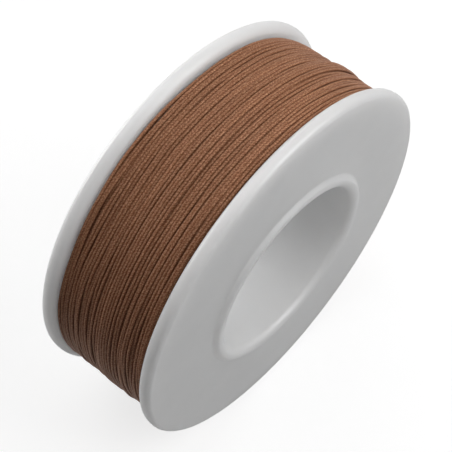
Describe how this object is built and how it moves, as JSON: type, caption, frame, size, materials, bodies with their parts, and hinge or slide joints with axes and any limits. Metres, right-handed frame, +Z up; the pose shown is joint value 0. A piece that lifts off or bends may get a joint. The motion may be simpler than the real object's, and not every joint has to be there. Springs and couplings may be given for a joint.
{
  "type": "waxed thread spool",
  "caption": "Wide flanged spool with a large open bore and a raised lip round its mouth, wound full of waxed thread for hand sewing leather.",
  "frame": {"origin": "middle of the bore, half way between the two flanges", "axes": "+Y along the spool's axis, from the front half to the rear half; +Z up; the spool stands on its two rims"},
  "size_m": [0.06, 0.0222, 0.06],
  "materials": {
    "spool_plastic": "satin white moulded plastic",
    "waxed_thread": "reddish brown twisted thread with a light coat of wax",
    "tape": "thin paper tape"
  },
  "bodies": {
    "root": {"front_half": "spool_plastic", "rear_half": "spool_plastic", "start_tape": "tape", "winding_inner": "waxed_thread", "winding_outer": "waxed_thread", "last_turns": "waxed_thread", "thread_end": "waxed_thread"}
  },
  "joints": []
}
